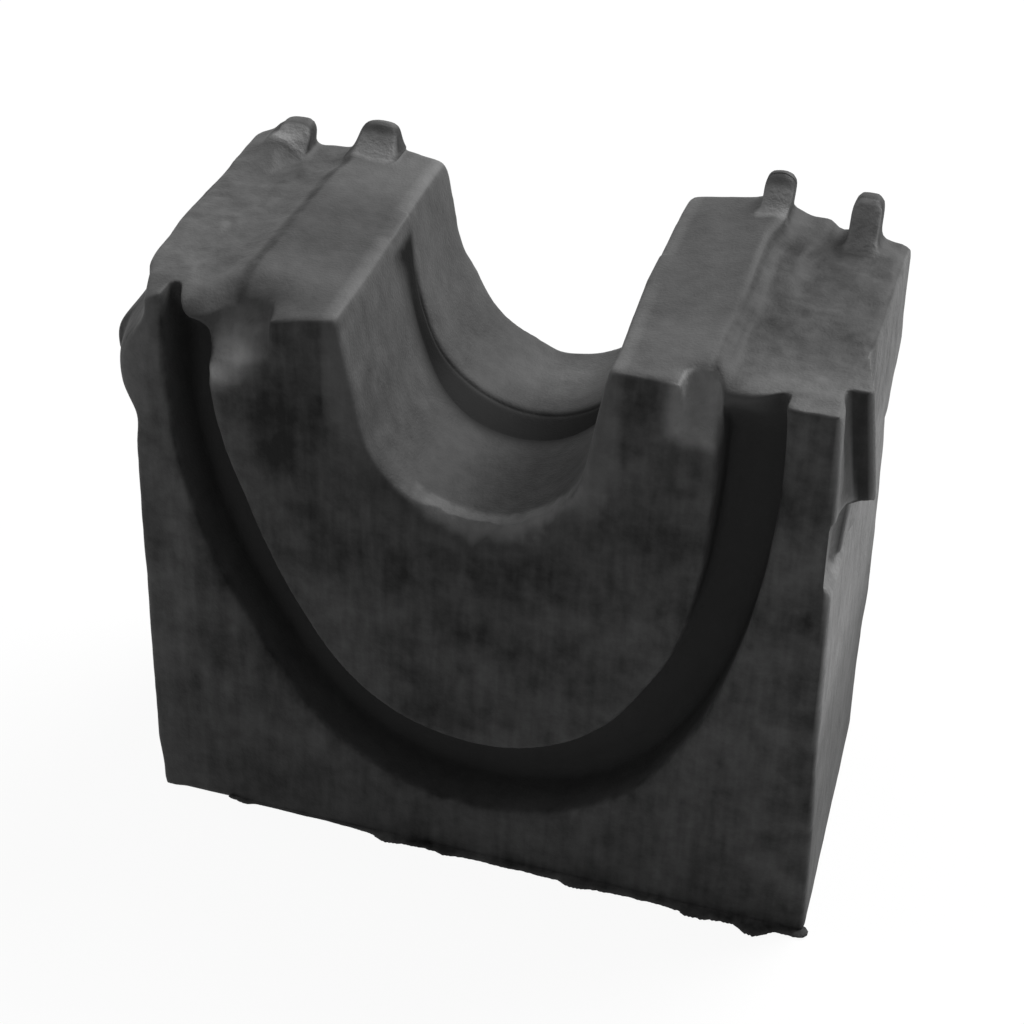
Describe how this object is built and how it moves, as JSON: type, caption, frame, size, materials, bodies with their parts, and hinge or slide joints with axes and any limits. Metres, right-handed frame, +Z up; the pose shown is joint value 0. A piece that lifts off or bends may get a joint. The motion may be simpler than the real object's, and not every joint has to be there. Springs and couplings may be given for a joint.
{
  "type": "split sway bar bushing half",
  "caption": "Half of a split rubber sway bar bushing: a tall block with a round saddle for the bar and a U-shaped groove in its front.",
  "frame": {"origin": "middle of the flat foot, on the surface that the block stands on", "axes": "+Z up, out of the saddle; +Y along the bar, from the front face to the back; +X across the block"},
  "size_m": [0.082, 0.039, 0.0748],
  "materials": {
    "black_rubber": "matt moulded skin with dusty lands"
  },
  "bodies": {
    "root": {"bushing": "black_rubber"}
  },
  "joints": []
}
